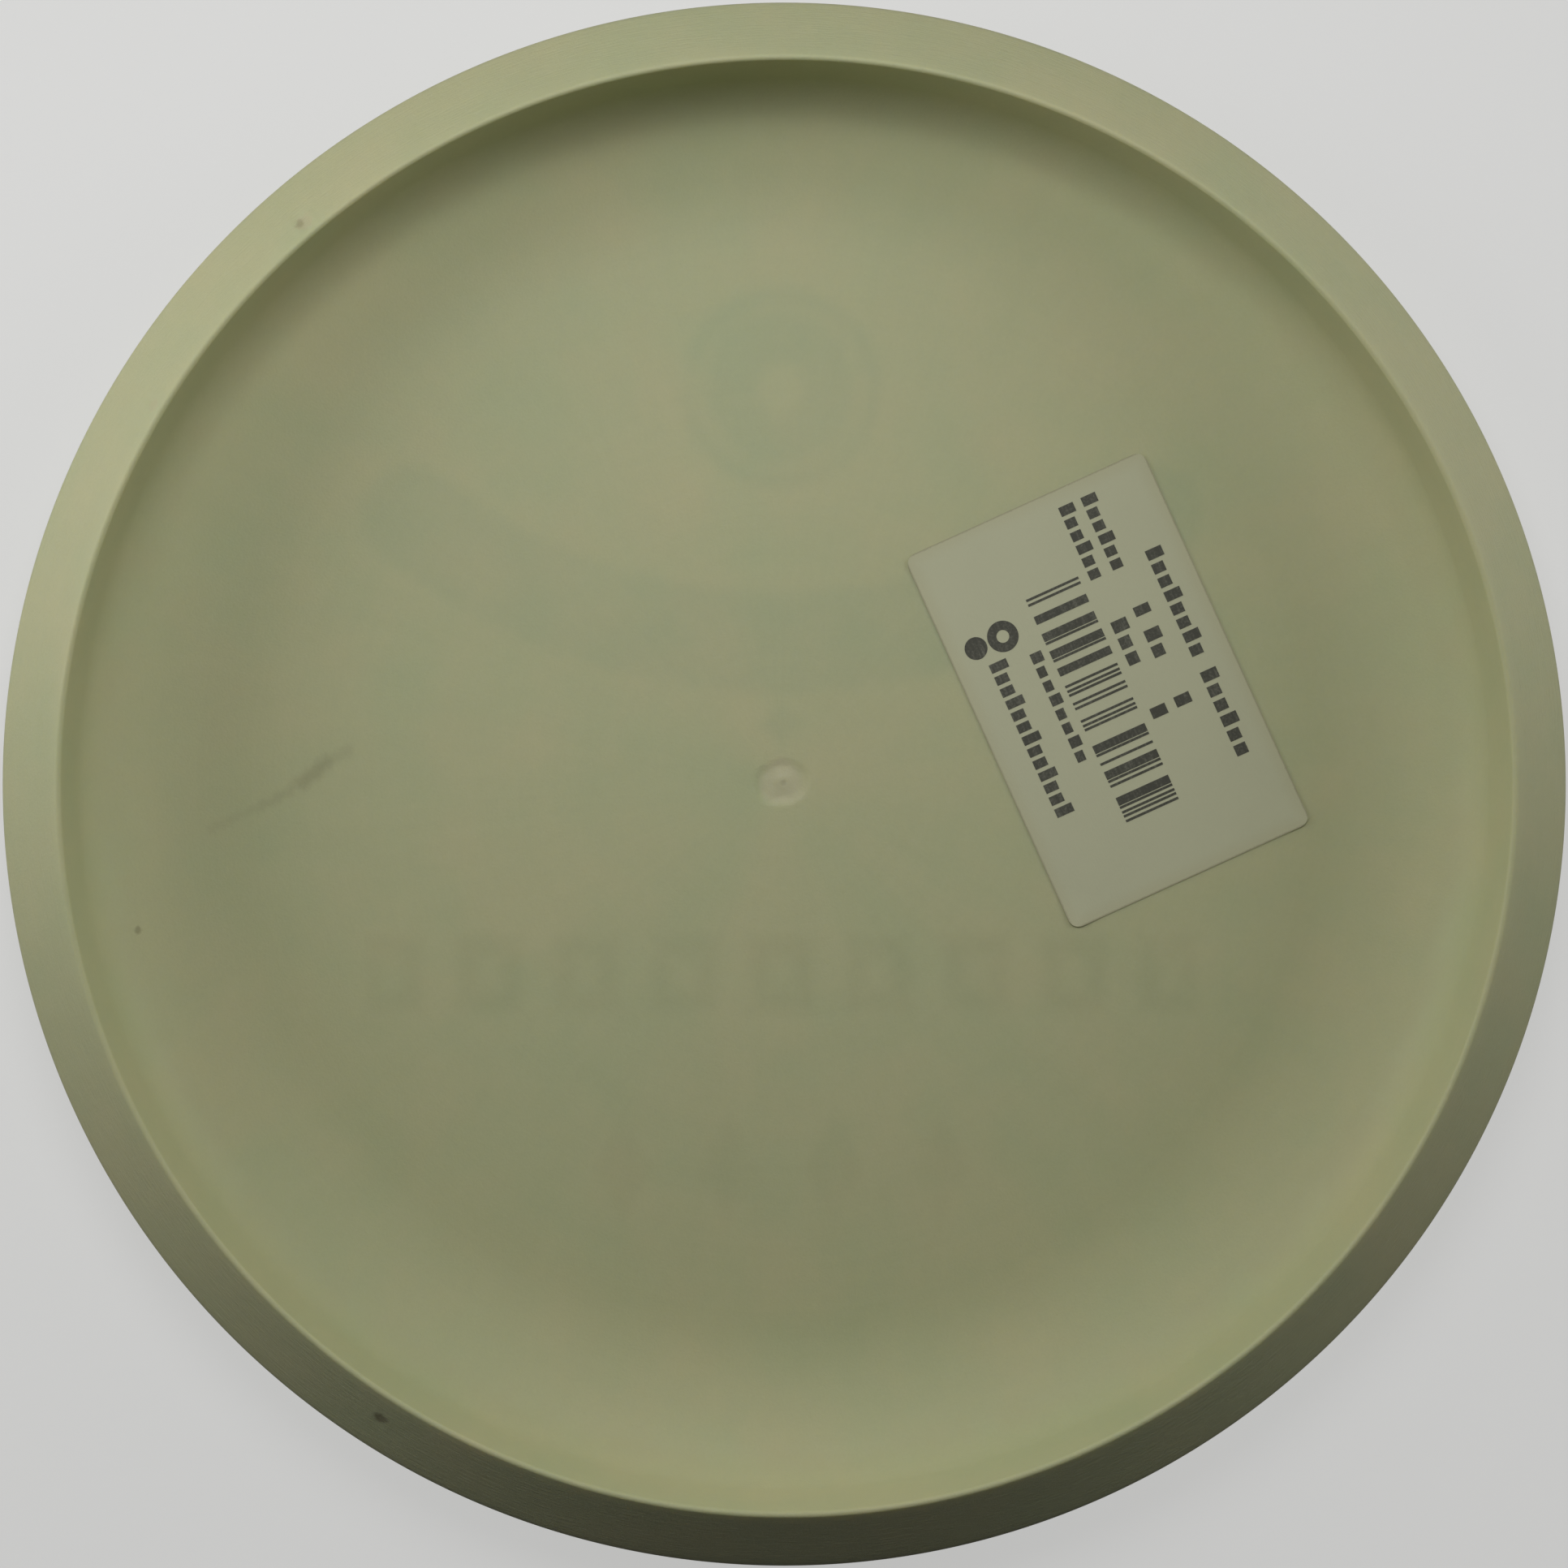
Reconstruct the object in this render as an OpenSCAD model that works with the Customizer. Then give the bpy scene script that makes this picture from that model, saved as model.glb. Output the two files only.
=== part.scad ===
// Flying disc for disc golf, putter class: one plastic moulding, foil stamps on its crown
// and a paper price label inside its hollow.
//
// The disc lies on its back. The crown, the outer face of the flight plate, is at z = 0,
// and the hollow opens towards +Z. The origin is the centre of the crown, +Z is the axis
// of the disc, and +Y points from the centre to the round badge of the stamp.

/* [Disc] */
// Outer diameter, at the nose of the rim
disc_d = 212; // [208:0.5:218]
// Height from the crown to the edge of the rim
disc_h = 20; // [19:0.5:23]
// Diameter of the hollow at the edge of the rim
hollow_d = 192; // [190:0.5:194]
// Depth from the edge of the rim to the lowest level of the corner's circle
rim_depth = 15; // [14:0.25:15.5]
// Thickness of the flat middle of the flight plate
plate_t = 2; // [1.8:0.1:2.6]

/* [Rim] */
// Height of the nose below the edge of the rim
nose_drop = 8.8; // [7:0.1:10]
// Radius of the rounded nose
nose_r = 2.4; // [1.5:0.1:3]
// Radius of the rounded edge that the hand curls under
edge_r = 0.5; // [0.4:0.1:1.4]
// Draft of the rim wall, in degrees
wall_draft = 3; // [1:0.5:6]
// Radius of the corner between the rim wall and the plate
corner_r = 8; // [6:0.5:10]

/* [Plate] */
// Radius of the flat crown, where the disc rests
crown_r = 80; // [78:0.5:84]
// Radius of the flat middle of the hollow's floor
floor_r = 75; // [74:0.5:78]
// Radius of the shallow gate recess at the centre of the floor
gate_r = 3.3; // [2:0.1:5]
// Depth of the gate recess
gate_depth = 0.25; // [0.1:0.05:0.5]

/* [Foil stamps] */
// Thickness of the foil, pressed in flush with the crown
foil_t = 0.08; // [0.05:0.01:0.2]
// Outer radius of the round badge
badge_r = 14; // [8:0.5:18]
// Distance from the disc's axis to the centre of the badge
badge_y = 55; // [45:0.5:60]
// Width of the curved band under the badge
band_w = 14; // [4:0.5:15]
// Number of blocks in the row
row_blocks = 9; // [4:1:9]
// Distance from one block to the next
row_pitch = 13.6; // [11:0.1:14]

/* [Price label] */
// Length of the label
label_l = 57; // [50:0.5:58]
// Width of the label
label_w = 36.5; // [30:0.5:38]
// Thickness of the label's paper with its adhesive
paper_t = 0.12; // [0.08:0.01:0.2]
// Turn of the label about the disc's axis, in degrees
label_turn = -65.6; // [-180:0.1:180]
// Thickness of the print on the label
ink_t = 0.03; // [0.02:0.01:0.05]

/* [Hidden] */

$fn = 180;
// How far a cutting solid reaches past the face it cuts
overcut = 1;
arc_steps = 10;
curve_steps = 24;
band_steps = 36;

// Rim: the nose and the edge are two circles, joined by the straight cone that touches both.
nose_c = [disc_d / 2 - nose_r, disc_h - nose_drop];
edge_c = [hollow_d / 2 + edge_r, disc_h - edge_r];
nose_to_edge = edge_c - nose_c;
// Direction of the cone's normal, measured from the radius towards +Z
cone_a = atan2(nose_to_edge[1], nose_to_edge[0]) - acos((nose_r - edge_r) / norm(nose_to_edge));

// Shoulder: one curve from the flat crown to the nose, which it meets leaning outwards.
shoulder_a = 15;
shoulder_end = nose_c + nose_r * [cos(shoulder_a), -sin(shoulder_a)];
shoulder_run = 17;
shoulder_rise = 6;

// Corner and floor: the wall runs down into a round corner, and from where its circle slopes
// by floor_a the floor falls on in one easing curve to the flat.
wall_top = edge_c + edge_r * [-cos(wall_draft), sin(wall_draft)];
corner_z = disc_h - rim_depth + corner_r;
wall_x = wall_top[0] - (wall_top[1] - corner_z) * tan(wall_draft);
corner_c = [wall_x - corner_r / cos(wall_draft), corner_z];
floor_a = 25;
corner_end = corner_c + corner_r * [sin(floor_a), -cos(floor_a)];
floor_pull = 5.6;

// Stamps
badge_ring_w = 2.2;
badge_gap = 1.3;
badge_hole_r = 3.4;
band_r = 84;
band_low_y = 19.5;
band_half_a = 38;
diamond_y = 8;
diamond_w = 6;
block_w = 9;
block_h = 10.5;
block_round = 1.6;
window_w = 3;
window_h = 4.4;
row_y = -26.7;
lozenge_w = 8;
lozenge_h = 15;
lozenge_pitch = 14.8;
lozenge_count = 4;
lozenge_y = -54;

// Label: centre on the floor, and where its rows lie from its own centre
label_at = [45.5, 12.8];
label_round = 1.6;
code_symbols = "n.W.WsWsW.nsn.ns.WssWn.Wnn";
code_x = -16.2;
code_y = -5.2;
code_pitch = 1.32;
code_h = 8;
thin_bar = 0.36;
wide_bar = 1.2;
dots_x = -12.9;
ring_y = -10.2;
ring_r = 2.2;
ring_hole_r = 0.9;
dot_y = -14.3;
dot_r = 1.6;
// Each word is [left end, lower edge, number of marks, distance between marks, height]
words = [
    [-15.5, 12.7, 8, 2.1, 2.4],
    [3.1, 12.7, 6, 2.25, 2.4],
    [-26, 7.6, 6, 1.95, 2.2],
    [-9, 7.9, 1, 2, 2.3],
    [-5.4, 7.9, 2, 2.4, 2.3],
    [4.7, 7.9, 1, 2.2, 2.3],
    [-26, 4.2, 6, 1.95, 2.2],
    [-8.4, 4.2, 3, 2.45, 2.3],
    [4.8, 4.2, 1, 2.2, 2.3],
    [-9, -7.9, 8, 2.15, 1.7],
    [-10, -13.7, 13, 1.84, 2.6]
];
mark_fill = 0.7;
low_mark = 0.74;

// Points on a circle from angle a0 to angle a1, both in degrees
function arc_points(c, r, a0, a1, n) =
    [for (i = [0:n]) let (a = a0 + (a1 - a0) * i / n) c + r * [cos(a), sin(a)]];

// Points on a cubic curve; the first point is left out, because the path before ends there
function curve_points(p0, p1, p2, p3, n) =
    [for (i = [1:n]) let (t = i / n, s = 1 - t)
        s * s * s * p0 + 3 * s * s * t * p1 + 3 * s * t * t * p2 + t * t * t * p3];

// Half section of the disc: radius, height
function disc_section() = concat(
    [[0, 0], [crown_r, 0]],
    curve_points(
        [crown_r, 0],
        [crown_r + shoulder_run, 0],
        shoulder_end - shoulder_rise * [sin(shoulder_a), cos(shoulder_a)],
        shoulder_end,
        curve_steps
    ),
    [for (i = [1:arc_steps]) arc_points(nose_c, nose_r, -shoulder_a, cone_a, arc_steps)[i]],
    arc_points(edge_c, edge_r, cone_a, 180 - wall_draft, arc_steps),
    arc_points(corner_c, corner_r, -wall_draft, floor_a - 90, arc_steps),
    curve_points(
        corner_end,
        corner_end - floor_pull * [cos(floor_a), sin(floor_a)],
        [floor_r + floor_pull, plate_t],
        [floor_r, plate_t],
        curve_steps
    ),
    [[0, plate_t]]
);

// A bar bent along a circle, with round ends
module bent_bar(c, r, w, a0, a1) {
    end_0 = c + r * [cos(a0), sin(a0)];
    end_1 = c + r * [cos(a1), sin(a1)];
    polygon(concat(
        arc_points(c, r + w / 2, a0, a1, band_steps),
        arc_points(end_1, w / 2, a1 + 10, a1 + 170, arc_steps),
        arc_points(c, r - w / 2, a1, a0, band_steps),
        arc_points(end_0, w / 2, a0 + 190, a0 + 350, arc_steps)
    ));
}

// A rectangle with round corners, about the origin
module round_rect(w, h, r) {
    polygon(concat(
        arc_points([w / 2 - r, h / 2 - r], r, 0, 90, arc_steps),
        arc_points([r - w / 2, h / 2 - r], r, 90, 180, arc_steps),
        arc_points([r - w / 2, r - h / 2], r, 180, 270, arc_steps),
        arc_points([w / 2 - r, r - h / 2], r, 270, 360, arc_steps)
    ));
}

module lozenge(w, h) {
    polygon([[w / 2, 0], [0, h / 2], [-w / 2, 0], [0, -h / 2]]);
}

module badge_outline() {
    translate([0, badge_y]) {
        difference() {
            circle(r = badge_r);
            circle(r = badge_r - badge_ring_w);
        }
        difference() {
            circle(r = badge_r - badge_ring_w - badge_gap);
            circle(r = badge_hole_r);
        }
    }
}

module band_outline() {
    bent_bar([0, band_low_y + band_r], band_r, band_w, -90 - band_half_a, -90 + band_half_a);
}

module diamond_outline() {
    translate([0, diamond_y]) lozenge(diamond_w, diamond_w);
}

module row_outline() {
    for (i = [0:row_blocks - 1])
        translate([(i - (row_blocks - 1) / 2) * row_pitch, row_y])
            difference() {
                round_rect(block_w, block_h, block_round);
                square([window_w, window_h], center = true);
            }
}

module lozenges_outline() {
    for (i = [0:lozenge_count - 1])
        translate([(i - (lozenge_count - 1) / 2) * lozenge_pitch, lozenge_y])
            lozenge(lozenge_w, lozenge_h);
}

// The pocket that one stamp presses into the crown
module pocket() {
    translate([0, 0, -overcut])
        linear_extrude(overcut + foil_t)
            children();
}

module disc_body() {
    color([0.61, 0.61, 0.48])
        difference() {
            rotate_extrude() polygon(disc_section());
            translate([0, 0, plate_t - gate_depth])
                cylinder(r = gate_r, h = gate_depth + overcut);
            pocket() badge_outline();
            pocket() band_outline();
            pocket() diamond_outline();
            pocket() row_outline();
            pocket() lozenges_outline();
        }
}

module stamp_badge() {
    color([0.16, 0.42, 0.43]) linear_extrude(foil_t) badge_outline();
}

module stamp_band() {
    color([0.16, 0.42, 0.43]) linear_extrude(foil_t) band_outline();
}

module stamp_diamond() {
    color([0.16, 0.42, 0.43]) linear_extrude(foil_t) diamond_outline();
}

module stamp_row() {
    color([0.2, 0.2, 0.19]) linear_extrude(foil_t) row_outline();
}

module stamp_lozenges() {
    color([0.2, 0.2, 0.19]) linear_extrude(foil_t) lozenges_outline();
}

// Places its children on the hollow's floor, in the label's own directions
module on_label(z) {
    translate([label_at[0], label_at[1], plate_t + z])
        rotate(label_turn)
            children();
}

module price_label() {
    color([0.62, 0.63, 0.56])
        on_label(0)
            linear_extrude(paper_t)
                round_rect(label_l, label_w, label_round);
}

// Bars of a made-up code: W is one wide bar, n two thin bars, s one thin bar and . a gap
module label_barcode() {
    color([0.2, 0.2, 0.17])
        on_label(paper_t)
            for (i = [0:len(code_symbols) - 1])
                translate([code_x + i * code_pitch, code_y, 0]) {
                    if (code_symbols[i] == "W") cube([wide_bar, code_h, ink_t]);
                    if (code_symbols[i] == "n" || code_symbols[i] == "s")
                        cube([thin_bar, code_h, ink_t]);
                    if (code_symbols[i] == "n")
                        translate([2 * thin_bar, 0, 0]) cube([thin_bar, code_h, ink_t]);
                }
}

// Plain blocks, tall and low, where writing would be
module label_writing() {
    color([0.27, 0.27, 0.23])
        on_label(paper_t)
            for (word = words, i = [0:word[2] - 1])
                translate([word[0] + i * word[3], word[1], 0])
                    cube([mark_fill * word[3], word[4] * (i % 3 == 0 ? 1 : low_mark), ink_t]);
}

// A ring and a dot, the label's plain mark
module label_dots() {
    color([0.2, 0.2, 0.17])
        on_label(paper_t)
            linear_extrude(ink_t) {
                translate([dots_x, ring_y])
                    difference() {
                        circle(r = ring_r);
                        circle(r = ring_hole_r);
                    }
                translate([dots_x, dot_y]) circle(r = dot_r);
            }
}

disc_body();
stamp_badge();
stamp_band();
stamp_diamond();
stamp_row();
stamp_lozenges();
price_label();
label_barcode();
label_writing();
label_dots();
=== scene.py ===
"""Looks of the flying disc: moulded plastic, foil under its crown, a price label in its hollow.

The disc lies on its crown at z = 0, with its hollow open to +Z and its axis on Z.
Lengths named with _MM are in millimetres; meshes are built in millimetres and scaled to metres.
"""

import math

import bpy
import numpy as np
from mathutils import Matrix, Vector


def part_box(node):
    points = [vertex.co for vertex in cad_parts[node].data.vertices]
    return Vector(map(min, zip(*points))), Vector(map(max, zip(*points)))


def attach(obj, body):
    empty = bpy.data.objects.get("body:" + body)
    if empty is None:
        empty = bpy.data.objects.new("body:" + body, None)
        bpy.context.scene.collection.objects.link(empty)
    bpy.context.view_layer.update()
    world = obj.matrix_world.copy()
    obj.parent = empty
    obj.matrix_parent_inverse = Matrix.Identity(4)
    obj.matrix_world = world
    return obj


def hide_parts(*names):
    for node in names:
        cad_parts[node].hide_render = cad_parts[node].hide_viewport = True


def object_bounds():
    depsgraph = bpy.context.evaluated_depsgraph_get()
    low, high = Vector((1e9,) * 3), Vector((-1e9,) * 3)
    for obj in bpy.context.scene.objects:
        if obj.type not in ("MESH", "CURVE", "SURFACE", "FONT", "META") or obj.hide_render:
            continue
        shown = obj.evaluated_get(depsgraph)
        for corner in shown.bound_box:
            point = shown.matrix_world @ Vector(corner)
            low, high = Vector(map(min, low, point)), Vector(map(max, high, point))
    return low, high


MM = 0.001

# Section of the moulding, as the CAD source builds it
HOLLOW_R_MM = 96.0
RIM_DEPTH_MM = 15.0
PLATE_MM = 2.0
NOSE_DROP_MM = 8.8
NOSE_R_MM = 2.4
EDGE_R_MM = 0.5
WALL_DRAFT = math.radians(3)
CORNER_R_MM = 8.0
CROWN_R_MM = 80.0
FLOOR_R_MM = 75.0
SHOULDER_A = math.radians(15)
SHOULDER_RUN_MM = 17.0
SHOULDER_RISE_MM = 6.0
FLOOR_A = math.radians(25)
FLOOR_PULL_MM = 5.6
GATE_R_MM = 3.3
GATE_DEPTH_MM = 0.25

# The crown of the fine mesh lies this far above the foil's face, so that the foil shows
CROWN_LIFT_MM = 0.02
# Ridge where the two halves of the mould met, round the nose
PARTING_RIDGE_MM = 0.07
PARTING_HALF_A = math.radians(4)

# Columns of the lathed mesh: coarse all round, fine beside the nicks
COLUMN_STEP = 0.5
FINE_STEP = 0.1
FINE_HALF = 1.5

# Knocks on the rim's edge: azimuth in degrees, radius, height, size and depth
NICKS = (
    (130.6, 98.4, 18.6, 0.95, 0.35),
    (149.0, 97.9, 19.0, 0.75, 0.25),
    (237.4, 100.2, 17.1, 0.8, 0.12),
)

# Stamps, as the CAD source places them
BADGE_Y_MM = 55.0
BADGE_R_MM = 14.0
BADGE_RING_MM = 2.2
BADGE_GAP_MM = 1.3
BADGE_HOLE_R_MM = 3.4
BAND_R_MM = 84.0
BAND_LOW_Y_MM = 19.5
BAND_W_MM = 14.0
BAND_HALF_A = math.radians(38)
DIAMOND_Y_MM = 8.0
DIAMOND_W_MM = 6.0
ROW_Y_MM = -26.7
ROW_PITCH_MM = 13.6
ROW_BLOCKS = 9
BLOCK_W_MM = 9.0
BLOCK_H_MM = 10.5
WINDOW_W_MM = 3.0
WINDOW_H_MM = 4.4
LOZENGE_Y_MM = -54.0
LOZENGE_PITCH_MM = 14.8
LOZENGE_COUNT = 4
LOZENGE_W_MM = 8.0
LOZENGE_H_MM = 15.0

# Price label: its centre is the centre of its CAD box
LABEL_L_MM = 57.0
LABEL_W_MM = 36.5
LABEL_ROUND_MM = 1.6
LABEL_TURN = math.radians(-65.6)
LABEL_GRID_MM = 0.5
LABEL_CURL_MM = 0.3
LABEL_CURL_REACH_MM = 6.0

# Colours, linear
PLASTIC = (0.550, 0.558, 0.326)
PLASTIC_GREEN = (0.518, 0.562, 0.326)
PLASTIC_BROWN = (0.566, 0.540, 0.316)
# Dirt, and also the painted shade in the corner of the hollow
DIRT_AND_SHADE = (0.150, 0.110, 0.060)
CHALK = (0.640, 0.600, 0.400)
SCAR = (0.580, 0.500, 0.310)
TEAL_GHOST = (0.930, 0.960, 0.972)
DARK_GHOST = (0.945, 0.948, 0.942)
PAPER = (0.595, 0.598, 0.405)
PAPER_AGED = (0.565, 0.548, 0.350)
INK = (0.085, 0.085, 0.066)
INK_FADED = (0.200, 0.200, 0.155)
FOIL_TEAL = (0.030, 0.150, 0.160)
FOIL_TEAL_DEEP = (0.018, 0.085, 0.105)
FOIL_DARK = (0.035, 0.035, 0.032)
FOIL_DARK_DEEP = (0.018, 0.018, 0.018)

# Single marks: azimuth in degrees, radius, height, size, how strong, and colour
SPOTS = (
    (130.6, 98.4, 18.6, 1.9, 0.4, SCAR),
    (130.9, 98.8, 18.3, 1.0, 0.3, DIRT_AND_SHADE),
    (149.0, 97.9, 19.0, 1.2, 0.3, SCAR),
    (237.4, 100.2, 17.1, 1.35, 0.6, DIRT_AND_SHADE),
    (192.9, 91.3, 5.9, 0.75, 0.4, DIRT_AND_SHADE),
)
# Strokes of the scraped smear on the floor: start, end, half width and how strong
SMEAR_STROKES = (
    ((-60.3, 4.4), (-63.6, 2.9), 0.6, 0.45),
    ((-63.4, 2.8), (-67.0, -0.2), 0.75, 1.0),
    ((-67.0, -0.2), (-72.5, -3.4), 0.5, 0.55),
    ((-72.5, -3.4), (-79.7, -6.5), 0.45, 0.32),
)

# Lamps, all aimed at the disc: azimuth and elevation in degrees, distance and size in metres, watts
LAMPS = {
    "top_light": (100, 62, 0.30, 0.16, 0.33),
    "left_light": (160, 22, 0.40, 0.25, 0.52),
    "right_light": (25, 26, 0.50, 0.30, 0.36),
    "low_right_light": (20, 16, 0.55, 0.30, 0.31),
}
ROOM_STRENGTH = 0.008
ROOM_COLOUR = (0.95, 1.0, 0.98)
BACKDROP = (0.55, 0.55, 0.543)

# Camera: height above the nose, and how far it stands to the left and beyond the middle
CAMERA_HEIGHT = 0.330
CAMERA_ASIDE = (-0.013, 0.0095, 0.0)
LENS_MM = 55.8
SENSOR_MM = 36.0

# The studio floor looks evenly pale, but throws only a little of that light on the disc
STAGE_GLOW = 0.5
STAGE_SPILL = 0.1


# ---------------------------------------------------------------- shader fields


class Field:
    """A number at each point of a surface, worked out by shader nodes."""

    def __init__(self, paint, socket):
        self.paint = paint
        self.socket = socket

    def __add__(self, other):
        return self.paint.math("ADD", self, other)

    def __radd__(self, other):
        return self.paint.math("ADD", other, self)

    def __sub__(self, other):
        return self.paint.math("SUBTRACT", self, other)

    def __rsub__(self, other):
        return self.paint.math("SUBTRACT", other, self)

    def __mul__(self, other):
        return self.paint.math("MULTIPLY", self, other)

    def __rmul__(self, other):
        return self.paint.math("MULTIPLY", other, self)

    def __truediv__(self, other):
        return self.paint.math("DIVIDE", self, other)

    def __abs__(self):
        return self.paint.math("ABSOLUTE", self)

    def high(self, other):
        """The larger of the two."""
        return self.paint.math("MAXIMUM", self, other)

    def low(self, other):
        """The smaller of the two."""
        return self.paint.math("MINIMUM", self, other)

    def ramp(self, start, end):
        """0 where the field is at start, 1 where it is at end, and smooth between."""
        node = self.paint.add("ShaderNodeMapRange")
        node.interpolation_type = "SMOOTHSTEP"
        self.paint.feed(node.inputs["Value"], self)
        node.inputs["From Min"].default_value = min(start, end)
        node.inputs["From Max"].default_value = max(start, end)
        node.inputs["To Min"].default_value = 0.0 if start < end else 1.0
        node.inputs["To Max"].default_value = 1.0 if start < end else 0.0
        return Field(self.paint, node.outputs["Result"])


class Paint:
    """Builds the nodes of one material. Its x, y and z are millimetres from the disc's origin."""

    def __init__(self, name):
        self.material = bpy.data.materials.new(name)
        self.material.use_nodes = True
        self.tree = self.material.node_tree
        self.tree.nodes.clear()
        self.shader = self.add("ShaderNodeBsdfPrincipled")
        output = self.add("ShaderNodeOutputMaterial")
        self.tree.links.new(self.shader.outputs["BSDF"], output.inputs["Surface"])
        metres = self.add("ShaderNodeTexCoord").outputs["Object"]
        scaled = self.add("ShaderNodeVectorMath")
        scaled.operation = "SCALE"
        self.tree.links.new(metres, scaled.inputs[0])
        scaled.inputs["Scale"].default_value = 1 / MM
        self.place = scaled.outputs["Vector"]
        split = self.add("ShaderNodeSeparateXYZ")
        self.tree.links.new(self.place, split.inputs[0])
        self.x, self.y, self.z = (Field(self, s) for s in split.outputs)

    def add(self, kind):
        return self.tree.nodes.new(kind)

    def feed(self, socket, value):
        """Links a field to an input, or sets the input to a plain number or colour."""
        if isinstance(value, Field):
            self.tree.links.new(value.socket, socket)
        elif isinstance(value, bpy.types.NodeSocket):
            self.tree.links.new(value, socket)
        elif isinstance(value, tuple):
            socket.default_value = (*value, 1.0)
        else:
            socket.default_value = value

    def math(self, operation, *values):
        node = self.add("ShaderNodeMath")
        node.operation = operation
        for socket, value in zip(node.inputs, values):
            self.feed(socket, value)
        return Field(self, node.outputs[0])

    def length(self, *fields):
        total = fields[0] * fields[0]
        for field in fields[1:]:
            total = total + field * field
        return self.math("SQRT", total)

    def vector(self, x, y, z):
        node = self.add("ShaderNodeCombineXYZ")
        for socket, value in zip(node.inputs, (x, y, z)):
            self.feed(socket, value)
        return node.outputs[0]

    def polar(self, turn, out, up):
        """A place for noise that follows the disc round: its pace round the axis, outward and upward."""
        reach = self.length(self.x, self.y).high(0.001)
        return self.vector(
            self.x / reach * turn, self.y / reach * turn, reach * out + self.z * up
        )

    def noise(self, size, detail=2.0, rough=0.5, place=None, shift=0.0, warp=0.0):
        """Cloudy noise from about -1 to 1, with lumps of the given size in millimetres."""
        node = self.add("ShaderNodeTexNoise")
        node.noise_dimensions = "4D"
        self.tree.links.new(place or self.place, node.inputs["Vector"])
        node.inputs["W"].default_value = shift
        node.inputs["Scale"].default_value = 1 / size
        node.inputs["Detail"].default_value = detail
        node.inputs["Roughness"].default_value = rough
        node.inputs["Distortion"].default_value = warp
        return Field(self, node.outputs["Fac"]) * 4.0 - 2.0

    def mix(self, share, a, b, blend="MIX"):
        """Colour a where share is 0, and b blended over it where share is 1."""
        node = self.add("ShaderNodeMix")
        node.data_type = "RGBA"
        node.blend_type = blend
        self.feed(node.inputs["Factor"], share)
        self.feed(node.inputs[6], a)
        self.feed(node.inputs[7], b)
        return node.outputs[2]

    def bumps(self, *layers):
        """Links height fields to the shader's normal; each layer is (field, height in millimetres)."""
        normal = None
        for field, height in layers:
            node = self.add("ShaderNodeBump")
            node.inputs["Strength"].default_value = 1.0
            node.inputs["Distance"].default_value = height * MM
            self.feed(node.inputs["Height"], field)
            if normal is not None:
                self.tree.links.new(normal, node.inputs["Normal"])
            normal = node.outputs["Normal"]
        self.tree.links.new(normal, self.shader.inputs["Normal"])

    def set(self, name, value):
        self.feed(self.shader.inputs[name], value)


# ---------------------------------------------------------------- stamp outlines


def badge_mark(p, soft):
    """1 inside the round badge: a ring round a disc with a hole."""
    reach = p.length(p.x, p.y - BADGE_Y_MM)
    disc_r = BADGE_R_MM - BADGE_RING_MM - BADGE_GAP_MM
    outer = reach.ramp(BADGE_R_MM + soft, BADGE_R_MM - soft)
    gap_middle = disc_r + BADGE_GAP_MM / 2
    gap = abs(reach - gap_middle).ramp(BADGE_GAP_MM / 2 + soft, 0.0)
    hole = reach.ramp(BADGE_HOLE_R_MM + soft, BADGE_HOLE_R_MM - soft)
    return (outer - gap * 0.5 - hole).high(0.0)


def band_mark(p, soft):
    """1 inside the curved band with round ends."""
    centre_y = BAND_LOW_Y_MM + BAND_R_MM
    end_x = BAND_R_MM * math.sin(BAND_HALF_A)
    end_y = centre_y - BAND_R_MM * math.cos(BAND_HALF_A)
    side = abs(p.x)
    across = abs(p.length(p.x, p.y - centre_y) - BAND_R_MM) - BAND_W_MM / 2
    past_end = side * math.cos(BAND_HALF_A) + (p.y - centre_y) * math.sin(BAND_HALF_A)
    bar = across.ramp(soft, -soft) * past_end.ramp(0.1, -0.1)
    cap = (p.length(side - end_x, p.y - end_y) - BAND_W_MM / 2).ramp(soft, -soft)
    return bar.high(cap)


def diamond_mark(p, soft):
    """1 inside the small diamond."""
    side = (abs(p.x) + abs(p.y - DIAMOND_Y_MM) - DIAMOND_W_MM / 2) * math.sqrt(0.5)
    return side.ramp(soft, -soft)


def row_mark(p, soft):
    """1 inside the row of blocks, except in their windows."""
    turn = p.math("ROUND", p.x / ROW_PITCH_MM)
    column = abs(p.x - turn * ROW_PITCH_MM)
    line = abs(p.y - ROW_Y_MM)
    block = (column - BLOCK_W_MM / 2).high(line - BLOCK_H_MM / 2)
    window = (column - WINDOW_W_MM / 2).high(line - WINDOW_H_MM / 2)
    in_row = abs(p.x) - (ROW_BLOCKS - 0.5) / 2 * ROW_PITCH_MM
    return block.high(in_row).ramp(soft, -soft) - window.ramp(soft, -soft)


def lozenges_mark(p, soft):
    """1 inside the lozenges."""
    turn = p.math("FLOOR", p.x / LOZENGE_PITCH_MM)
    column = abs(p.x - (turn + 0.5) * LOZENGE_PITCH_MM)
    line = abs(p.y - LOZENGE_Y_MM)
    lean = column * (2 / LOZENGE_W_MM) + line * (2 / LOZENGE_H_MM) - 1.0
    in_row = abs(p.x) - LOZENGE_COUNT / 2 * LOZENGE_PITCH_MM
    return (lean * (LOZENGE_W_MM / 2)).high(in_row).ramp(soft, -soft)


# ---------------------------------------------------------------- materials


def segment_reach(p, start, end):
    """Distance from a straight mark on the floor of the hollow, from start to end."""
    run = (end[0] - start[0], end[1] - start[1])
    from_x = p.x - start[0]
    from_y = p.y - start[1]
    share = (from_x * run[0] + from_y * run[1]) / (run[0] ** 2 + run[1] ** 2)
    share = share.high(0.0).low(1.0)
    return p.length(from_x - share * run[0], from_y - share * run[1])


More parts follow.
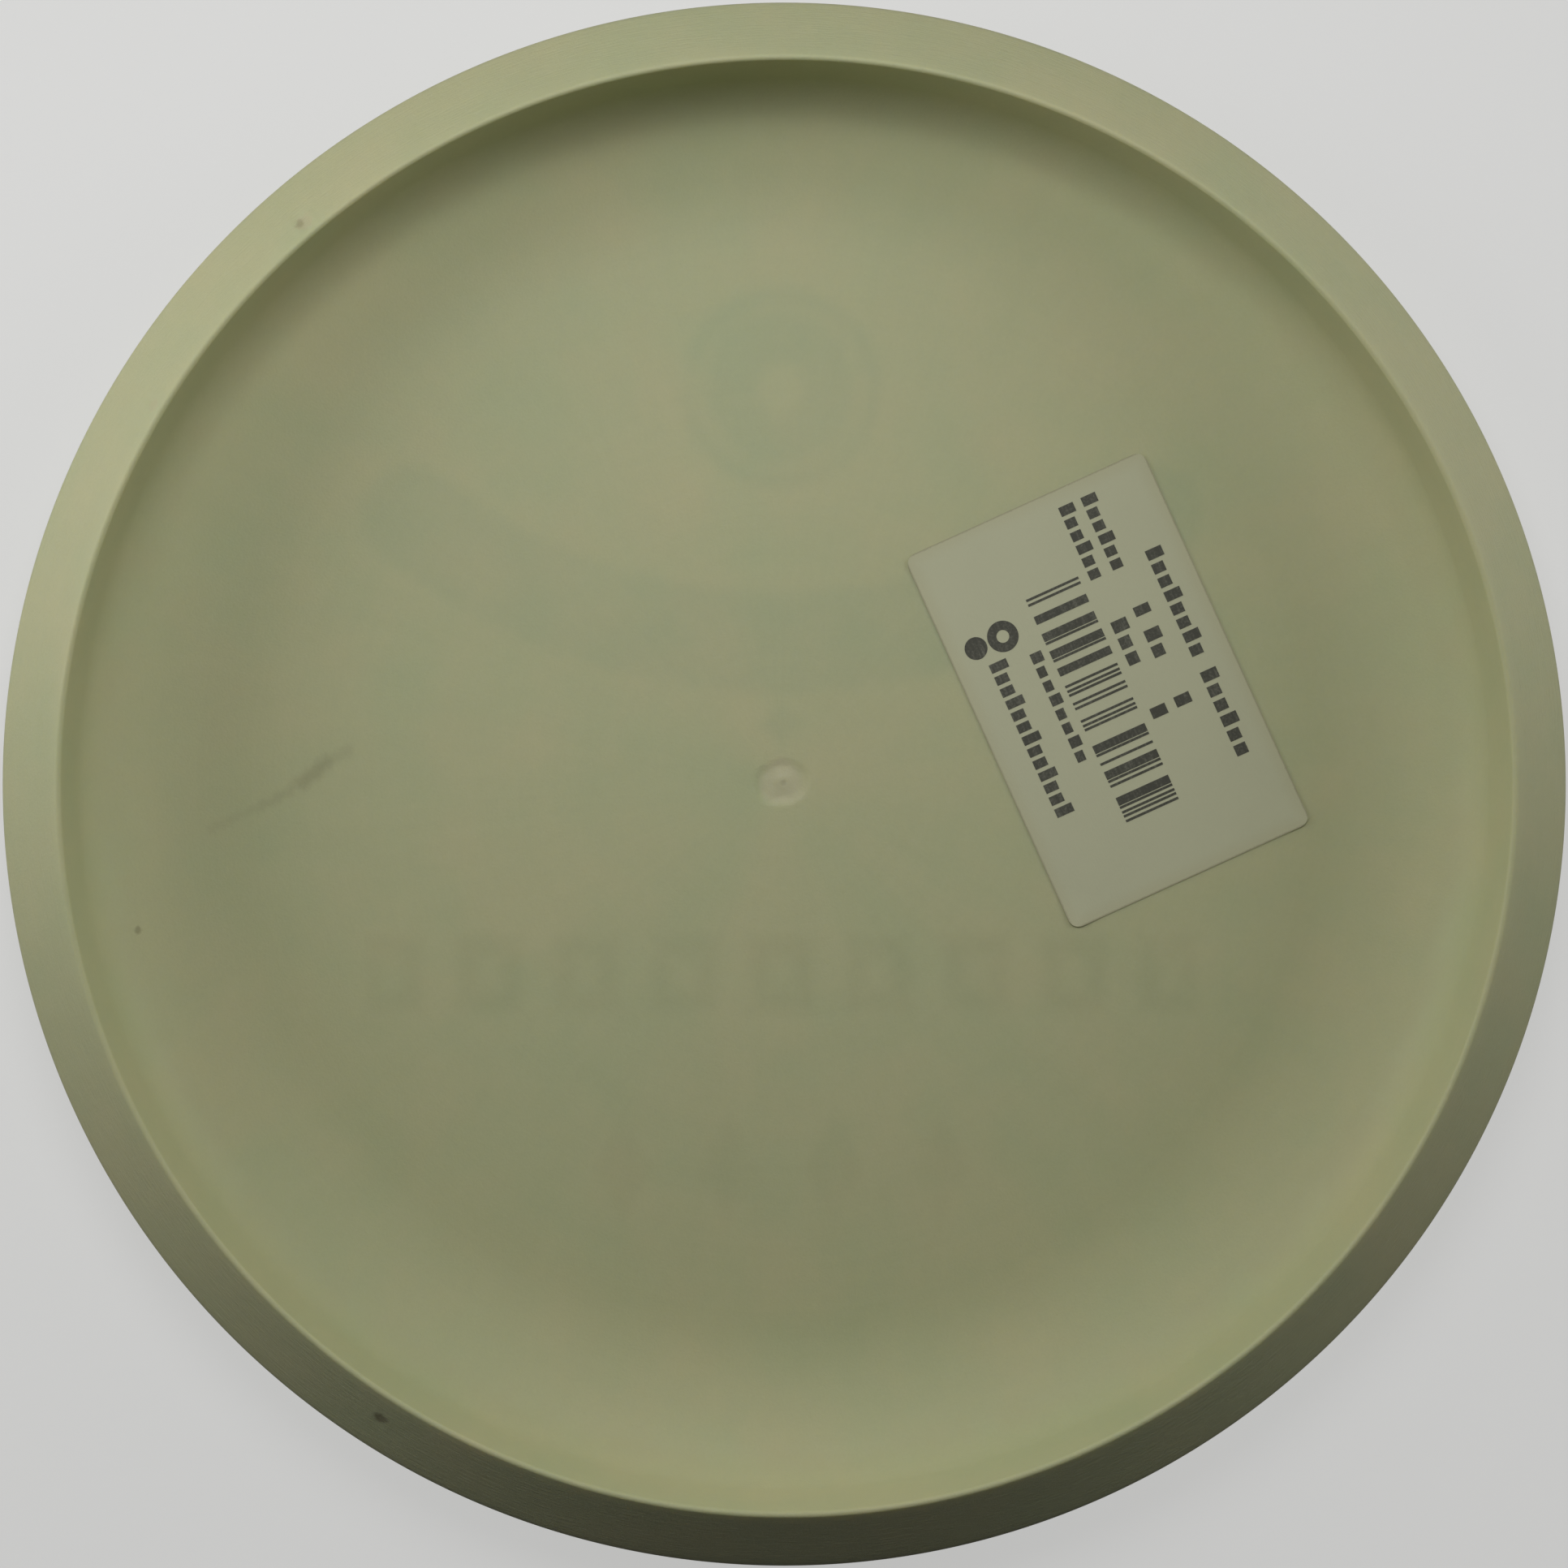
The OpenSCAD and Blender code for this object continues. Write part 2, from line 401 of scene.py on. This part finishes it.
def smear_mark(p):
    """The scraped smear left of the middle: two dark dabs and a fading tail."""
    rag = p.noise(1.1, detail=3.0, shift=7.0)
    total = None
    for start, end, width, depth in SMEAR_STROKES:
        reach = segment_reach(p, start, end) + rag * 0.35
        stroke = reach.ramp(width * 2.4, 0.0) * depth
        total = stroke if total is None else total.high(stroke)
    return total


def spot(p, azimuth, radius, height, size, rag):
    """1 inside a ragged spot on the surface, centred by azimuth in degrees, radius and height."""
    a = math.radians(azimuth)
    reach = p.length(p.x - radius * math.cos(a), p.y - radius * math.sin(a), p.z - height)
    return (reach + rag * size * 0.35).ramp(size, size * 0.35)


def ghost_tint(p, colour):
    """Shades the floor of the hollow where the foil on the other side shows through."""
    soft = 1.5
    inside = p.z.ramp(0.8, 1.2)
    patchy = p.noise(7.0, detail=3.0, shift=3.0) * 0.3 + 0.85
    teal = badge_mark(p, soft).high(band_mark(p, soft)).high(diamond_mark(p, soft))
    dark = row_mark(p, soft).high(lozenges_mark(p, soft) * 0.7)
    colour = p.mix(teal * inside * patchy, colour, TEAL_GHOST, "MULTIPLY")
    return p.mix(dark * inside * patchy, colour, DARK_GHOST, "MULTIPLY")


def plastic_material():
    """Moulded base plastic: satin grain, flow marks, painted shade with a little dirt in the corner,
    scuffs on the rim.
    """
    p = Paint("disc_plastic")
    radius = p.length(p.x, p.y)
    rag = p.noise(0.9, detail=3.0, shift=11.0)
    cloud = p.noise(24.0, detail=3.0, rough=0.55, shift=1.0)
    blotch = p.noise(9.0, detail=3.0, rough=0.6, shift=2.0)
    speckle = p.noise(0.45, detail=2.0, shift=4.0)
    flow = p.noise(1.0, detail=3.0, place=p.polar(26.0, 0.05, 0.2), shift=5.0)
    rings = p.noise(1.0, detail=2.0, place=p.polar(0.6, 0.9, -0.9), shift=6.0)

    tone = (cloud * 0.55 + blotch * 0.35).ramp(-0.9, 0.9)
    colour = p.mix(tone, PLASTIC_GREEN, PLASTIC_BROWN)
    colour = p.mix(0.25, colour, PLASTIC)
    shade = cloud * 0.018 + blotch * 0.022 + speckle * 0.014 + flow * 0.010 + rings * 0.006 + 1.0
    colour = p.mix(1.0, colour, p.vector(shade, shade, shade), "MULTIPLY")
    colour = ghost_tint(p, colour)

    # Painted shade with a little dirt: darker in the corner between the wall and the floor
    corner = abs(radius - 93.0).ramp(3.0, 0.0) * p.z.ramp(3.0, 5.0) * p.z.ramp(12.0, 8.0)
    colour = p.mix(corner * (blotch * 0.05 + 0.04), colour, DIRT_AND_SHADE)

    # The rim's cone and nose are rubbed: pale chalky scuffs and dirt rubbed into them
    streak = p.noise(1.0, detail=4.0, rough=0.65, place=p.polar(30.0, 2.2, -2.2), shift=8.0)
    rim = radius.ramp(96.0, 98.5)
    nose = abs(p.z - 11.2).ramp(3.4, 0.4) * radius.ramp(103.0, 105.5)
    scuffs = streak.ramp(0.55, 1.25) * (rim * 0.16 + nose * 0.34)
    grime = (streak * -1.0 + blotch * 0.6).ramp(0.9, 1.8) * (rim * 0.16 + nose * 0.32)
    colour = p.mix(scuffs, colour, CHALK)
    colour = p.mix(grime, colour, DIRT_AND_SHADE)

    # Single marks
    smear = smear_mark(p) * p.z.ramp(0.8, 1.2)
    colour = p.mix(smear * 0.24, colour, DIRT_AND_SHADE)
    for azimuth, out, height, size, share, tint in SPOTS:
        colour = p.mix(spot(p, azimuth, out, height, size, rag) * share, colour, tint)
    grit = p.noise(1.7, detail=1.0, shift=9.0).ramp(1.32, 1.5)
    colour = p.mix(grit * 0.3, colour, DIRT_AND_SHADE)

    # The gate: a paler broken patch with a pin-point in the middle
    gate_reach = radius + p.noise(2.2, detail=2.0, shift=12.0) * 0.7
    gate = gate_reach.ramp(4.0, 2.0) * p.z.ramp(0.8, 1.2)
    colour = p.mix(gate * 0.6, colour, CHALK)
    pin = p.length(p.x - 0.3, p.y + 0.1).ramp(0.55, 0.2) * p.z.ramp(0.8, 1.2)
    colour = p.mix(pin * 0.15, colour, DIRT_AND_SHADE)

    p.set("Base Color", colour)
    rough = speckle * 0.03 + blotch * 0.03 + scuffs * 0.2 + smear * 0.2 + 0.56
    p.set("Roughness", rough.high(0.3).low(0.9))
    p.set("IOR", 1.47)
    p.set("Specular IOR Level", 0.35)
    p.set("Subsurface Weight", 0.30)
    p.shader.inputs["Subsurface Radius"].default_value = (1.0, 0.85, 0.5)
    p.set("Subsurface Scale", 2.5 * MM)
    p.bumps(
        (blotch, 0.018),
        (p.noise(0.32, detail=3.0, shift=10.0), 0.008),
        (rings, 0.006),
        (streak * (rim + nose).low(1.0), 0.03),
    )
    return p.material


def foil_material(name, fresh, deep):
    """Hot-stamped foil: satin metal film, with scratches and flaked spots."""
    p = Paint(name)
    cloud = p.noise(6.0, detail=3.0, shift=21.0)
    fine = p.noise(0.5, detail=3.0, shift=22.0)
    one_way = p.vector(p.x * 0.06 + p.y * 0.05, p.y * 2.4 - p.x * 2.1, 0.0)
    other_way = p.vector(p.x * 0.05 - p.y * 0.04, p.y * 1.6 + p.x * 2.6, 0.0)
    scratch_a = p.noise(1.0, detail=2.0, place=one_way, shift=23.0)
    scratch_b = p.noise(1.0, detail=2.0, place=other_way, shift=24.0)
    scratches = scratch_a.high(scratch_b).ramp(0.95, 1.25)
    flaked = (fine * 0.6 + cloud * 0.7).ramp(1.15, 1.4)
    bare = flaked.high(scratches * 0.7)
    colour = p.mix((cloud * 0.5 + 0.5).high(0.0).low(1.0), deep, fresh)
    colour = p.mix(bare, colour, PLASTIC)
    p.set("Base Color", colour)
    p.set("Metallic", (1.0 - bare) * 0.8)
    p.set("Roughness", (fine * 0.05 + cloud * 0.04 + bare * 0.25 + 0.33).high(0.15).low(0.9))
    p.bumps((cloud, 0.02), (fine, 0.006), (bare * -1.0, 0.02))
    return p.material


def label_place(p):
    """The label's own directions: along its length and along its width, in millimetres."""
    centre = (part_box("price_label")[0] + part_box("price_label")[1]) / 2 / MM
    from_x = p.x - centre.x
    from_y = p.y - centre.y
    cos_t = math.cos(LABEL_TURN)
    sin_t = math.sin(LABEL_TURN)
    return from_x * cos_t + from_y * sin_t, from_y * cos_t - from_x * sin_t


def paper_material():
    """Thermal label paper: short fibres, a yellowed border, darker along its very edge."""
    p = Paint("label_paper")
    along, across = label_place(p)
    fibre_a = p.noise(1.0, detail=3.0, place=p.vector(along * 0.9, across * 4.5, 0.0), shift=31.0)
    fibre_b = p.noise(1.0, detail=3.0, place=p.vector(along * 4.2, across * 1.1, 0.0), shift=32.0)
    fibres = fibre_a.high(fibre_b)
    cloud = p.noise(11.0, detail=3.0, shift=33.0)
    inset = (abs(along) - LABEL_L_MM / 2).high(abs(across) - LABEL_W_MM / 2)
    border = (inset + cloud * 0.5).ramp(-2.4, 0.0)
    colour = p.mix(border * 0.6, PAPER, PAPER_AGED)
    shade = fibres * 0.016 + cloud * 0.016 + 0.99
    colour = p.mix(1.0, colour, p.vector(shade, shade, shade), "MULTIPLY")
    # Darker along the paper's very edge
    colour = p.mix((inset + fibres * 0.1).ramp(-0.3, 0.0) * 0.35, colour, DIRT_AND_SHADE)
    p.set("Base Color", colour)
    p.set("Roughness", (fibres * 0.04 + cloud * 0.03 + 0.72).low(1.0))
    p.set("Specular IOR Level", 0.3)
    p.bumps((fibres, 0.006), (cloud, 0.02))
    return p.material


def ink_material():
    """Thermal print: dots laid in lines across the feed, with weak and missing ones."""
    p = Paint("label_ink")
    along, across = label_place(p)
    dots = p.noise(1.0, detail=1.0, place=p.vector(along * 3.2, across * 3.2, 0.0), shift=41.0)
    lines = p.noise(1.0, detail=1.0, place=p.vector(along * 0.12, across * 2.6, 0.0), shift=42.0)
    cloud = p.noise(5.0, detail=2.0, shift=43.0)
    weak = (dots * 0.5 + lines * 0.45 + cloud * 0.35).ramp(-0.3, 1.2)
    colour = p.mix(weak, INK, INK_FADED)
    colour = p.mix((dots * 0.8 + lines * 0.5).ramp(1.3, 1.6) * 0.7, colour, PAPER)
    p.set("Base Color", colour)
    p.set("Roughness", (dots * 0.05 + 0.62).low(1.0))
    p.set("Specular IOR Level", 0.3)
    p.bumps((dots, 0.006),)
    return p.material


def stage_material():
    """Matte studio paper under the disc."""
    p = Paint("stage_paper")
    grain = p.noise(2.5, detail=4.0, shift=51.0)
    wide = p.noise(180.0, detail=2.0, shift=52.0)
    shade = grain * 0.003 + wide * 0.004 + 0.25
    p.set("Base Color", p.vector(shade, shade * 0.998, shade * 0.985))
    p.set("Roughness", (grain * 0.03 + 0.9).low(1.0))
    p.set("Emission Color", (1.0, 1.0, 0.985))
    seen = Field(p, p.add("ShaderNodeLightPath").outputs["Is Camera Ray"])
    p.set("Emission Strength", seen * (STAGE_GLOW - STAGE_SPILL) + STAGE_SPILL)
    p.bumps((grain, 0.01),)
    return p.material


# ---------------------------------------------------------------- meshes


def arc(centre, radius, start, end, steps):
    """Points on a circle of the section, from angle start to angle end."""
    turns = (start + (end - start) * i / steps for i in range(steps + 1))
    return [(centre[0] + radius * math.cos(a), centre[1] + radius * math.sin(a)) for a in turns]


def curve(p0, p1, p2, p3, steps):
    """Points on a cubic curve of the section, without the first."""
    points = []
    for i in range(1, steps + 1):
        t = i / steps
        s = 1 - t
        weights = (s**3, 3 * s * s * t, 3 * s * t * t, t**3)
        points.append(tuple(sum(w * q[k] for w, q in zip(weights, (p0, p1, p2, p3))) for k in (0, 1)))
    return points


def disc_section(outer_r, height):
    """Half section of the moulding from the middle of the crown round the rim to the gate."""
    nose = (outer_r - NOSE_R_MM, height - NOSE_DROP_MM)
    edge = (HOLLOW_R_MM + EDGE_R_MM, height - EDGE_R_MM)
    run = (edge[0] - nose[0], edge[1] - nose[1])
    cone_a = math.atan2(run[1], run[0]) - math.acos((NOSE_R_MM - EDGE_R_MM) / math.hypot(*run))
    shoulder_dir = (math.sin(SHOULDER_A), math.cos(SHOULDER_A))
    shoulder_end = (nose[0] + NOSE_R_MM * shoulder_dir[1], nose[1] - NOSE_R_MM * shoulder_dir[0])
    shoulder_pull = tuple(e - SHOULDER_RISE_MM * d for e, d in zip(shoulder_end, shoulder_dir))
    wall_top = (
        edge[0] - EDGE_R_MM * math.cos(WALL_DRAFT),
        edge[1] + EDGE_R_MM * math.sin(WALL_DRAFT),
    )
    corner_z = height - RIM_DEPTH_MM + CORNER_R_MM
    wall_x = wall_top[0] - (wall_top[1] - corner_z) * math.tan(WALL_DRAFT)
    corner = (wall_x - CORNER_R_MM / math.cos(WALL_DRAFT), corner_z)
    corner_end = (
        corner[0] + CORNER_R_MM * math.sin(FLOOR_A),
        corner[1] - CORNER_R_MM * math.cos(FLOOR_A),
    )
    floor_pull = (
        corner_end[0] - FLOOR_PULL_MM * math.cos(FLOOR_A),
        corner_end[1] - FLOOR_PULL_MM * math.sin(FLOOR_A),
    )
    points = [(r, 0.0) for r in (1.0, 12.0, 30.0, 50.0, 68.0, 77.0, CROWN_R_MM)]
    points += curve(
        (CROWN_R_MM, 0.0), (CROWN_R_MM + SHOULDER_RUN_MM, 0.0), shoulder_pull, shoulder_end, 22
    )
    points += arc(nose, NOSE_R_MM, -SHOULDER_A, -PARTING_HALF_A, 2)[1:]
    for share, lift in ((-0.4, 0.75), (0.0, 1.0), (0.4, 0.75)):
        points += arc(nose, NOSE_R_MM + lift * PARTING_RIDGE_MM, share * PARTING_HALF_A, 0.0, 1)[:1]
    points += arc(nose, NOSE_R_MM, PARTING_HALF_A, cone_a, 7)
    low_end = points[-1]
    high_end = arc(edge, EDGE_R_MM, cone_a, cone_a, 1)[0]
    points += [
        tuple(a + (b - a) * i / 7 for a, b in zip(low_end, high_end)) for i in range(1, 7)
    ]
    points += arc(edge, EDGE_R_MM, cone_a, math.pi - WALL_DRAFT, 13)
    points += [
        tuple(a + (b - a) * i / 3 for a, b in zip(wall_top, (wall_x, corner_z))) for i in range(1, 3)
    ]
    points += arc(corner, CORNER_R_MM, -WALL_DRAFT, FLOOR_A - math.pi / 2, 16)
    points += curve(
        corner_end, floor_pull, (FLOOR_R_MM + FLOOR_PULL_MM, PLATE_MM), (FLOOR_R_MM, PLATE_MM), 14
    )
    points += [(r, PLATE_MM) for r in (66.0, 54.0, 40.0, 26.0, 14.0, 8.0, 6.0)]
    points += [(r, PLATE_MM) for r in np.arange(5.0, 0.3, -0.25)]
    return points


def column_angles():
    """Azimuths of the mesh's columns in degrees, closer together beside the nicks."""
    coarse = np.arange(0.0, 360.0, COLUMN_STEP)
    fine = [np.arange(a - FINE_HALF, a + FINE_HALF, FINE_STEP) for a, *_ in NICKS]
    return np.unique(np.round(np.concatenate([coarse, *fine]), 3))


def gate_height(x, y):
    """Height of the gate's broken stub above the floor of its recess, in millimetres."""
    stub = 0.2 * np.exp(-(((x - 0.25) / 1.9) ** 2 + ((y - 0.2) / 1.3) ** 2))
    ragged = 0.02 * np.sin(2.1 * x + 1.3) * np.cos(1.7 * y - 0.4)
    pin = -0.12 * np.exp(-(((x - 0.3) / 0.4) ** 2 + ((y + 0.1) / 0.4) ** 2))
    return stub + ragged + pin


def shape_gate(points):
    """Sinks the gate's uneven recess into the middle of the floor."""
    x, y, z = points.T
    reach = np.hypot(x, y * 1.12)
    angle = np.arctan2(y, x)
    rim = GATE_R_MM + 0.2 * np.sin(2 * angle + 0.6) + 0.06 * np.sin(5 * angle)
    inside = np.clip((rim + 0.9 - reach) / 1.8, 0, 1)
    inside = inside * inside * (3 - 2 * inside)
    on_floor = z > PLATE_MM / 2
    z[on_floor] += (inside * (gate_height(x, y) - GATE_DEPTH_MM))[on_floor]


def shape_nicks(points, normals):
    """Knocks small hollows into the rim, with a little plastic pushed up beside each."""
    for azimuth, radius, height, size, depth in NICKS:
        a = math.radians(azimuth)
        centre = np.array([radius * math.cos(a), radius * math.sin(a), height])
        share = np.linalg.norm(points - centre, axis=1) / size
        push = -depth * np.exp(-(share**2)) + 0.3 * depth * np.exp(-((share - 1.7) ** 2) * 4)
        points += normals * push[:, None]


def disc_mesh():
    """The whole moulding as one lathed skin with both middles closed."""
    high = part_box("disc_body")[1] / MM
    section = np.array(disc_section(high.x, high.z))
    section[:, 1] = np.maximum(section[:, 1], CROWN_LIFT_MM)
    angles = np.radians(column_angles())
    rings, columns = len(section), len(angles)
    tangent = np.gradient(section, axis=0)
    tangent /= np.linalg.norm(tangent, axis=1)[:, None]
    normal = np.stack([tangent[:, 1], -tangent[:, 0]], axis=1)
    around = np.stack([np.cos(angles), np.sin(angles)], axis=1)

    def spin(profile):
        flat = profile[:, None, :1] * around[None]
        tall = np.broadcast_to(profile[:, None, 1:], (rings, columns, 1))
        return np.concatenate([flat, tall], axis=2).reshape(-1, 3)

    points = spin(section)
    shape_nicks(points, spin(normal))
    shape_gate(points)
    crown_middle = len(points)
    last = points[-columns:].mean(axis=0)
    points = np.vstack([points, [[0.0, 0.0, CROWN_LIFT_MM]], last[None]])
    faces = []
    for i in range(rings - 1):
        for j in range(columns):
            k = (j + 1) % columns
            faces.append((i * columns + j, i * columns + k, (i + 1) * columns + k, (i + 1) * columns + j))
    for j in range(columns):
        k = (j + 1) % columns
        faces.append((crown_middle, k, j))
        faces.append(((rings - 1) * columns + j, (rings - 1) * columns + k, crown_middle + 1))
    return new_object("disc_moulding", points * MM, faces)


def label_outline_inset(along, across):
    """Pulls a point of the label's grid inside its round corners."""
    core_x = LABEL_L_MM / 2 - LABEL_ROUND_MM
    core_y = LABEL_W_MM / 2 - LABEL_ROUND_MM
    over_x = max(abs(along) - core_x, 0.0)
    over_y = max(abs(across) - core_y, 0.0)
    reach = math.hypot(over_x, over_y)
    if reach <= LABEL_ROUND_MM or min(over_x, over_y) == 0:
        return along, across
    pull = max(over_x, over_y) / reach
    return (
        math.copysign(core_x + over_x * pull, along),
        math.copysign(core_y + over_y * pull, across),
    )


def label_lift(along, across):
    """How far the paper has come off the floor: its corners curl, one more than the others."""
    total = 0.0
    for sign_x, sign_y, share in ((1, 1, 0.7), (1, -1, 1.0), (-1, 1, 0.45), (-1, -1, 0.8)):
        reach = math.hypot(sign_x * LABEL_L_MM / 2 - along, sign_y * LABEL_W_MM / 2 - across)
        total += share * max(0.0, 1 - reach / LABEL_CURL_REACH_MM) ** 2
    return LABEL_CURL_MM * total


def label_mesh():
    """The paper as a thin sheet with a top, an underside and an edge."""
    low, high = (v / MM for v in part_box("price_label"))
    centre = (low + high) / 2
    paper = high.z - low.z
    columns = round(LABEL_L_MM / LABEL_GRID_MM) + 1
    rows = round(LABEL_W_MM / LABEL_GRID_MM) + 1
    cos_t = math.cos(LABEL_TURN)
    sin_t = math.sin(LABEL_TURN)
    points = []
    for height in (high.z, low.z + paper * 0.1):
        for j in range(rows):
            for i in range(columns):
                along = (i / (columns - 1) - 0.5) * LABEL_L_MM
                across = (j / (rows - 1) - 0.5) * LABEL_W_MM
                along, across = label_outline_inset(along, across)
                x = centre.x + along * cos_t - across * sin_t
                y = centre.y + along * sin_t + across * cos_t
                points.append((x, y, height + label_lift(along, across)))
    count = rows * columns
    faces = []
    for j in range(rows - 1):
        for i in range(columns - 1):
            a = j * columns + i
            top = (a, a + 1, a + columns + 1, a + columns)
            faces.append(top)
            faces.append(tuple(count + v for v in reversed(top)))
    edge = [i for i in range(columns)]
    edge += [j * columns + columns - 1 for j in range(1, rows)]
    edge += [(rows - 1) * columns + i for i in range(columns - 2, -1, -1)]
    edge += [j * columns for j in range(rows - 2, 0, -1)]
    for a, b in zip(edge, edge[1:] + edge[:1]):
        faces.append((b, a, a + count, b + count))
    return new_object("label_sheet", np.array(points) * MM, faces)


def new_object(name, points, faces):
    """A smooth-shaded mesh object from points in metres."""
    mesh = bpy.data.meshes.new(name)
    mesh.from_pydata([tuple(q) for q in points], [], faces)
    mesh.validate()
    mesh.shade_smooth()
    mesh.update()
    obj = bpy.data.objects.new(name, mesh)
    bpy.context.scene.collection.objects.link(obj)
    return obj


# ---------------------------------------------------------------- pieces


def dress(obj, material):
    obj.data.materials.clear()
    obj.data.materials.append(material)
    return obj


def build_disc():
    disc = dress(disc_mesh(), plastic_material())
    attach(disc, "root")
    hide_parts("disc_body")


def build_label():
    sheet = dress(label_mesh(), paper_material())
    sheet.data.set_sharp_from_angle(angle=math.radians(40))
    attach(sheet, "root")
    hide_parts("price_label")


def dress_cad_nodes(nodes):
    """The foil and the print keep their CAD shapes and get their finished materials."""
    teal = foil_material("foil_teal", FOIL_TEAL, FOIL_TEAL_DEEP)
    dark = foil_material("foil_dark", FOIL_DARK, FOIL_DARK_DEEP)
    ink = ink_material()
    for name in ("stamp_badge", "stamp_band", "stamp_diamond"):
        dress(nodes[name], teal)
    for name in ("stamp_row", "stamp_lozenges"):
        dress(nodes[name], dark)
    for name in ("label_barcode", "label_writing", "label_dots"):
        dress(nodes[name], ink)


# ---------------------------------------------------------------- studio


def build_stage():
    """A pale sheet of studio paper under the disc."""
    half = 3.0
    drop = 0.05 * MM
    corners = [(-half, -half, -drop), (half, -half, -drop), (half, half, -drop), (-half, half, -drop)]
    floor = dress(new_object("stage_floor", corners, [(0, 1, 2, 3)]), stage_material())


def softbox(name, azimuth, elevation, distance, size, watts):
    """A round area light aimed at the disc, placed by azimuth and elevation in degrees."""
    a = math.radians(azimuth)
    e = math.radians(elevation)
    out = Vector((math.cos(a) * math.cos(e), math.sin(a) * math.cos(e), math.sin(e)))
    data = bpy.data.lights.new(name, "AREA")
    data.shape = "DISK"
    data.size = size
    data.energy = watts
    lamp = bpy.data.objects.new(name, data)
    lamp.location = out * distance
    lamp.rotation_mode = "QUATERNION"
    lamp.rotation_quaternion = (-out).to_track_quat("-Z", "Y")
    lamp.visible_camera = False
    bpy.context.scene.collection.objects.link(lamp)


def build_lights():
    """A soft lamp close above the far edge, low ones to the left and right, and a dim room."""
    for name, setting in LAMPS.items():
        softbox(name, *setting)
    world = bpy.data.worlds.new("studio_room")
    world.use_nodes = True
    tree = world.node_tree
    room = tree.nodes["Background"]
    room.inputs["Color"].default_value = (*ROOM_COLOUR, 1.0)
    room.inputs["Strength"].default_value = ROOM_STRENGTH
    seen = tree.nodes.new("ShaderNodeBackground")
    seen.inputs["Color"].default_value = (*BACKDROP, 1.0)
    pick = tree.nodes.new("ShaderNodeMixShader")
    path = tree.nodes.new("ShaderNodeLightPath")
    tree.links.new(path.outputs["Is Camera Ray"], pick.inputs["Fac"])
    tree.links.new(room.outputs["Background"], pick.inputs[1])
    tree.links.new(seen.outputs["Background"], pick.inputs[2])
    tree.links.new(pick.outputs["Shader"], tree.nodes["World Output"].inputs["Surface"])
    bpy.context.scene.world = world


def build_camera(low, high):
    """Looks straight down into the hollow from a hand's height, a little to the upper left.

    The sensor lies parallel to the disc, and the lens shift brings the disc back to the middle.
    """
    aside = Vector(CAMERA_ASIDE)
    nose = Vector(((low.x + high.x) / 2, (low.y + high.y) / 2, high.z - NOSE_DROP_MM * MM))
    data = bpy.data.cameras.new("camera")
    data.sensor_width = SENSOR_MM
    data.lens = LENS_MM
    seen_width = CAMERA_HEIGHT * SENSOR_MM / LENS_MM
    data.shift_x = -aside.x / seen_width
    data.shift_y = -aside.y / seen_width
    camera = bpy.data.objects.new("camera", data)
    camera.location = nose + aside + Vector((0.0, 0.0, CAMERA_HEIGHT))
    bpy.context.scene.collection.objects.link(camera)
    bpy.context.scene.camera = camera


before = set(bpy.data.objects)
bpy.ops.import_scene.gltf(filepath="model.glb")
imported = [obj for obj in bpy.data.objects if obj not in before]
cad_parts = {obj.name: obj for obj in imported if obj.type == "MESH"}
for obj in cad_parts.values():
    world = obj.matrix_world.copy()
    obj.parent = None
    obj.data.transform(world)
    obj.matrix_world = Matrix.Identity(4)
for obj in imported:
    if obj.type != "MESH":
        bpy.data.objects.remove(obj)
cad_low, cad_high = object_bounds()
build_disc()
build_label()
dress_cad_nodes(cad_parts)
build_stage()
build_lights()
build_camera(cad_low, cad_high)
bpy.context.scene.view_settings.view_transform = "Standard"
